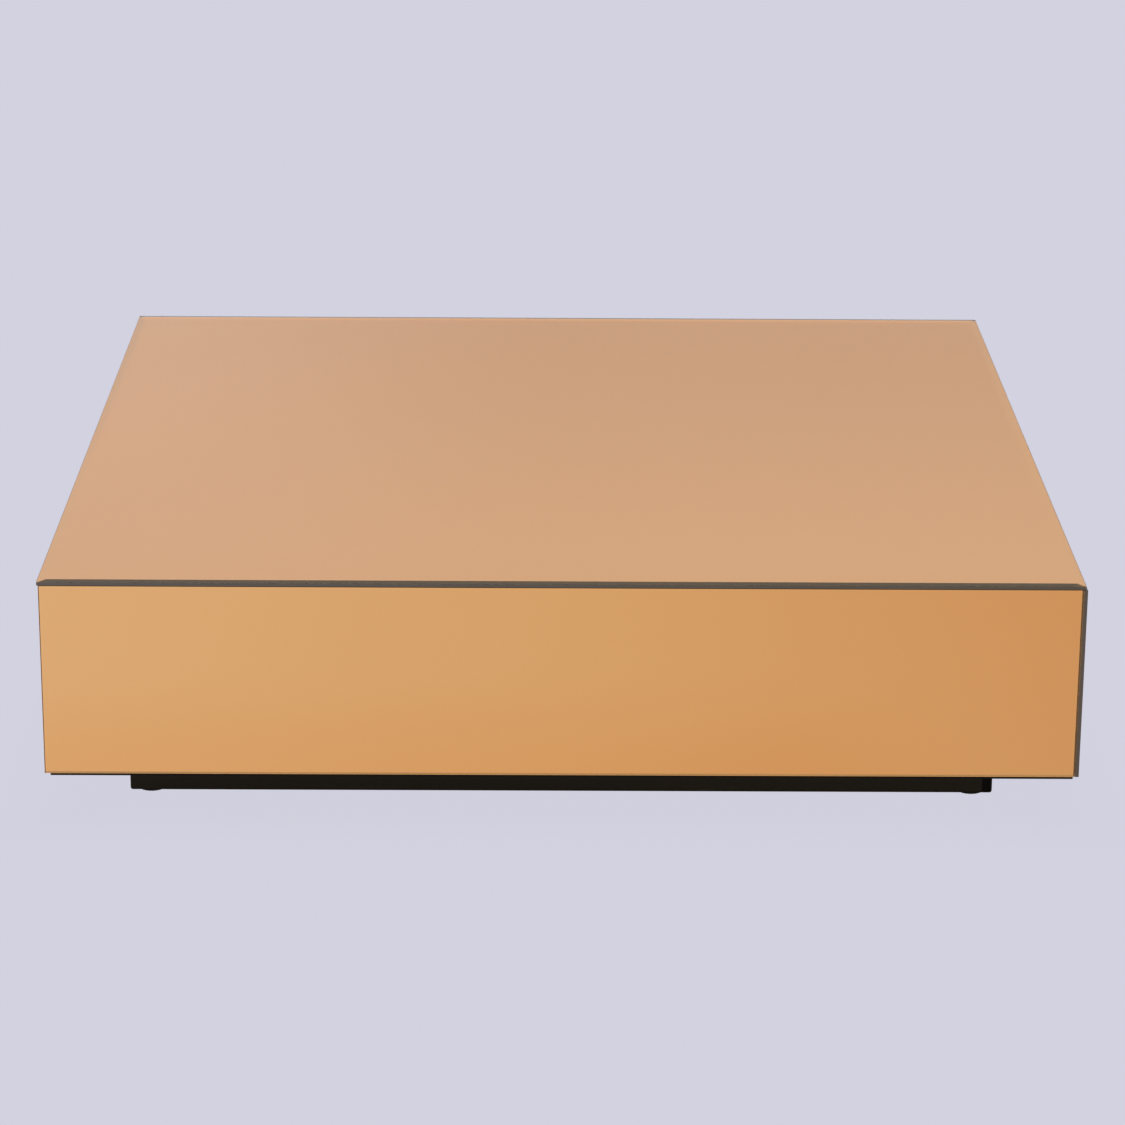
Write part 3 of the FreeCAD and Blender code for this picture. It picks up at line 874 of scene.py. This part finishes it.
def add_cross_recess(shape):
    """A plus-shaped recess in the head, narrowing as it goes in."""
    arm = ((RECESS_HALF, -RECESS_HALF), (RECESS_REACH, -RECESS_HALF), (RECESS_REACH, RECESS_HALF))
    corners = []
    for turn in range(4):
        facing = Matrix.Rotation(turn * math.pi / 2, 3, "Z")
        corners += [shape.verts.new(facing @ Vector((x, y, 0))) for x, y in arm]
    rim = [shape.edges.new(pair) for pair in zip(corners, corners[1:] + corners[:1])]
    outline = [edge for edge in loop_at(shape, 0.0, SCREW_HEAD) if edge not in rim]
    fill_between(shape, rim, outline)
    sunk = bmesh.ops.extrude_edge_only(shape, edges=rim)["geom"]
    verts = [item for item in sunk if isinstance(item, bmesh.types.BMVert)]
    bmesh.ops.scale(shape, verts=verts, vec=(RECESS_TAPER, RECESS_TAPER, 1))
    bmesh.ops.translate(shape, verts=verts, vec=(0, 0, RECESS_DEPTH))
    ends = [item for item in sunk if isinstance(item, bmesh.types.BMEdge) and item.is_boundary]
    bmesh.ops.holes_fill(shape, edges=ends, sides=0)


print("screw head", round(2 * SCREW_HEAD / MM, 1), "mm across, thread",
      round(2 * SCREW_CREST / MM, 1), "mm")


# %% Find where a node's separate solids are
def solids_in(node):
    """The lowest and highest corner of each separate solid in a CAD node."""
    shape = bmesh.new()
    shape.from_mesh(frame["nodes"][node].data)
    bmesh.ops.remove_doubles(shape, verts=shape.verts, dist=WELD)
    found, seen = [], set()
    for first in shape.verts:
        if first in seen:
            continue
        seen.add(first)
        group = [first]
        for vert in group:
            for edge in vert.link_edges:
                other = edge.other_vert(vert)
                if other not in seen:
                    seen.add(other)
                    group.append(other)
        low = Vector([min(vert.co[axis] for vert in group) for axis in range(3)])
        high = Vector([max(vert.co[axis] for vert in group) for axis in range(3)])
        found.append((low, high))
    shape.free()
    return found


SMALL_PARTS = {node: solids_in(node) for node in ("carcass_screws", "plinth_screws", "carcass_dowels")}
for node, places in SMALL_PARTS.items():
    low, high = places[0]
    print(f"{node:14s} {len(places):2d} of them, {(high.z - low.z) / MM:.1f} mm long")


# %% Drive every screw
def add_copies(shape, blank, places):
    """Adds the blank's mesh to the shape at each place."""
    for place in places:
        before = len(shape.verts)
        shape.from_mesh(blank)
        shape.verts.ensure_lookup_table()
        bmesh.ops.translate(shape, verts=shape.verts[before:], vec=place)


def set_in_place(single, node, name, slot):
    """Puts a copy of one small part wherever the CAD node has a solid, as one piece."""
    blank = bpy.data.meshes.new("blank")
    single.to_mesh(blank)
    single.free()
    shape = bmesh.new()
    add_copies(shape, blank, [axis_of(low, high, low.z) for low, high in SMALL_PARTS[node]])
    bpy.data.meshes.remove(blank)
    hand_over(shape, name, "table", node, slot)


for node, name in (("carcass_screws", "carcass_wood_screws"), ("plinth_screws", "plinth_wood_screws")):
    low, high = SMALL_PARTS[node][0]
    set_in_place(wood_screw(high.z - low.z), node, name, "zinc_steel")

# %% [markdown]
# ## Dowels
#
# Beech dowels are pressed through a die that leaves flutes for the glue, and have a small
# chamfer at each end. A circle with every other point pulled in is the section; it is drawn up
# in four rings, the end ones smaller.

# %% Fluted dowels
FLUTES, FLUTE_DEPTH, DOWEL_CHAMFER = 16, 0.3 * MM, 1.0 * MM


def dowel(low, high):
    """A fluted dowel of a CAD dowel's size, with its lower end at height 0."""
    radius, length = (high.x - low.x) / 2, high.z - low.z
    shape = bmesh.new()
    circle = bmesh.ops.create_circle(shape, cap_ends=False, segments=2 * FLUTES, radius=radius)
    ring = circle["verts"]
    flute, small = 1 - FLUTE_DEPTH / radius, 1 - DOWEL_CHAMFER / radius
    bmesh.ops.scale(shape, verts=ring[::2], vec=(flute, flute, 1))
    bmesh.ops.scale(shape, verts=ring, vec=(small, small, 1))
    bmesh.ops.holes_fill(shape, edges=shape.edges, sides=0)
    edges = shape.edges[:]
    straight = length - 2 * DOWEL_CHAMFER
    for rise, widen in ((DOWEL_CHAMFER, 1 / small), (straight, 1), (DOWEL_CHAMFER, small)):
        up = bmesh.ops.extrude_edge_only(shape, edges=edges)["geom"]
        verts = [item for item in up if isinstance(item, bmesh.types.BMVert)]
        edges = [item for item in up if isinstance(item, bmesh.types.BMEdge)]
        bmesh.ops.translate(shape, verts=verts, vec=(0, 0, rise))
        bmesh.ops.scale(shape, verts=verts, vec=(widen, widen, 1))
    bmesh.ops.holes_fill(shape, edges=edges, sides=0)
    return shape


first_dowel = dowel(*SMALL_PARTS["carcass_dowels"][0])
set_in_place(first_dowel, "carcass_dowels", "carcass_fluted_dowels", "beech")

# %% [markdown]
# ## Floor and sky
#
# A mirror shows whatever is round it, so the surroundings are kept plain: one large pale floor
# and a soft sky. The side mirrors look down at the floor, so the floor's colour is what they
# show. In a studio it would be swept with a cool light from the left, so that light is painted
# into the floor that the mirrors see, from a bright cool tone at the left to a warmer, dimmer one
# at the right. Close to the table a little warm light from the copper is painted in too, and
# under it a painted shade with hardly any light at all. The floor that the camera sees itself is
# one even tone, with a faint painted shade under the table. The top shows the sky instead: cool
# near the horizon, warm overhead, brighter at the left.

# %% Floor
WHITE = (1, 1, 1, 1)
FLOOR_RADIUS = 60.0                             # metres, so that its edge is never seen
FLOOR_DROP = 0.2 * MM                           # clear of the pads' undersides
# SHADED_TONE is a faint painted shade on the floor under the table, as the camera sees it
FLOOR_TONE, SHADED_TONE = (0.651, 0.644, 0.745, 1), (0.635, 0.628, 0.727, 1)
# SWEEP is painted light: cool and bright at the left, warmer and dimmer at the right
SWEEP_WIDTH = 1.2
SWEEP = (
    (0.0, (0.755, 0.843, 1.04, 1)), (0.5, (0.709, 0.747, 0.82, 1)), (1.0, (0.65, 0.61, 0.60, 1)))
# UNDER_TABLE is painted shade under the table and COPPER_BOUNCE painted warm light near it, as the
# mirrors see the floor
UNDER_TABLE = (0.05, 0.045, 0.04, 1)
COPPER_BOUNCE = (0.99, 0.92, 0.84, 1)
FOOTPRINT = size.x / 2
UNDER_EDGE, UNDER_SOFT = FOOTPRINT + 0.02, 0.06
BOUNCE_EDGE, BOUNCE_SOFT = FOOTPRINT + 0.29, 0.17
BOUNCE_RIGHT, BOUNCE_RIGHT_SOFT = 0.33, 0.12    # the bounce fades out past here


def pale_floor():
    """One large disc."""
    shape = bmesh.new()
    bmesh.ops.create_circle(shape, cap_ends=True, segments=96, radius=FLOOR_RADIUS)
    bmesh.ops.translate(shape, verts=shape.verts, vec=(0, 0, -FLOOR_DROP))
    mesh = bpy.data.meshes.new("floor")
    shape.to_mesh(mesh)
    shape.free()
    mesh.materials.append(floor_finish())
    floor = bpy.data.objects.new("floor", mesh)
    bpy.context.scene.collection.objects.link(floor)
    return floor


def tinted(colour, tint):
    """One colour signal multiplied by another."""
    settings = {"data_type": "RGBA", "blend_type": "MULTIPLY"}
    return colour.node("ShaderNodeMix", settings, out=2, i0=1.0, i6=colour, i7=tint)


def floor_finish():
    """The floor's even tone to look at, with a faint painted shade under the table, and the painted
    lit sweep in the mirrors.
    """
    material, shader, place = finish(
        "studio_floor", Base_Color=(0, 0, 0, 1), Specular_IOR_Level=0.0, Roughness=1.0,
        Emission_Strength=1.0)
    along, across = place.split(0), place.split(1)
    reach_x, reach_y = along.maths("ABSOLUTE", along), across.maths("ABSOLUTE", across)
    from_middle = along.maths("MAXIMUM", reach_x, reach_y)
    open_floor = from_middle.above(UNDER_EDGE, UNDER_SOFT)
    sweep = place.node("ShaderNodeValToRGB", {"stops": SWEEP}, Fac=along * (1 / SWEEP_WIDTH) + 0.5)
    near_copper = along.above(BOUNCE_RIGHT, BOUNCE_RIGHT_SOFT).blend(COPPER_BOUNCE, WHITE)
    bounce = from_middle.above(BOUNCE_EDGE, BOUNCE_SOFT).blend(near_copper, WHITE)
    # the mirrors see painted light and shade: the sweep, the copper bounce and the dark under the
    # table
    lit = open_floor.blend(UNDER_TABLE, tinted(sweep, bounce))
    # the camera sees the even floor tone with a faint painted shade under the table
    own = open_floor.blend(SHADED_TONE, FLOOR_TONE)
    seen = place.node("ShaderNodeLightPath", out="Is Camera Ray")
    feed(shader, Emission_Color=seen.blend(lit, own))
    return ready(material)


print("floor", round(pale_floor().dimensions.x), "m across")

# %% Sky
SKY_STOPS = (           # by the sine of the height above the horizon
    (0.26, (0.640, 0.643, 0.630, 1)), (0.31, (0.722, 0.740, 0.735, 1)),
    (0.37, (0.690, 0.740, 0.738, 1)), (0.45, (0.800, 0.667, 0.500, 1)),
    (1.0, (0.84, 0.72, 0.58, 1)))
LEFT_CAST_LOW, LEFT_CAST_HIGH = (1.115, 1.160, 1.240, 1), (1.0, 1.015, 1.085, 1)
CAST_HEIGHT, CAST_HEIGHT_SOFT = 0.287, 0.033
CAST_LEFT, CAST_LEFT_SOFT = -0.05, 0.06


def sky():
    """Cool near the horizon and warm overhead, and a little brighter to the left."""
    world = bpy.data.worlds.new("studio")
    world.use_nodes = True
    tree = world.node_tree
    way = Signal(tree, tree.nodes.new("ShaderNodeTexCoord").outputs["Generated"])
    rise = way.node("ShaderNodeValToRGB", {"stops": SKY_STOPS}, Fac=way.split(2))
    at_left = way.split(2).above(CAST_HEIGHT, CAST_HEIGHT_SOFT).blend(LEFT_CAST_LOW, LEFT_CAST_HIGH)
    cast = way.split(0).above(CAST_LEFT, CAST_LEFT_SOFT).blend(at_left, WHITE)
    tree.links.new(tinted(rise, cast).socket, tree.nodes["Background"].inputs["Color"])
    return world


bpy.context.scene.world = sky()
print("sky has", len(bpy.context.scene.world.node_tree.nodes), "nodes")

# %% [markdown]
# ## Camera
#
# A long lens from nearly 4 m keeps the far side of the table almost as wide as the near one. It
# stands straight in front and looks down about 18 degrees, which shows the whole of the top and
# the front. The colours are shown as they are, without a film curve.

# %% Camera
CAMERA_PLACE = Vector((-0.0250, -3.9831, 1.4179))
SENSOR_WIDTH, LENS = 36.0, 123.63               # the camera's own millimetres
CAMERA_PITCH, CAMERA_YAW, CAMERA_ROLL = (math.radians(a) for a in (18.291, 0.395, 0.369))

camera_data = bpy.data.cameras.new("camera")
camera_data.sensor_width = SENSOR_WIDTH
camera_data.lens = LENS
camera = bpy.data.objects.new("camera", camera_data)
bpy.context.scene.collection.objects.link(camera)
aim = Matrix.Rotation(-CAMERA_YAW, 4, "Z") @ Matrix.Rotation(math.pi / 2 - CAMERA_PITCH, 4, "X")
camera.matrix_world = Matrix.Translation(CAMERA_PLACE) @ aim @ Matrix.Rotation(CAMERA_ROLL, 4, "Z")
bpy.context.scene.camera = camera
bpy.context.scene.view_settings.view_transform = "Standard"
print("camera at", [round(v, 3) for v in camera.location], "lens", round(camera_data.lens, 1), "mm")
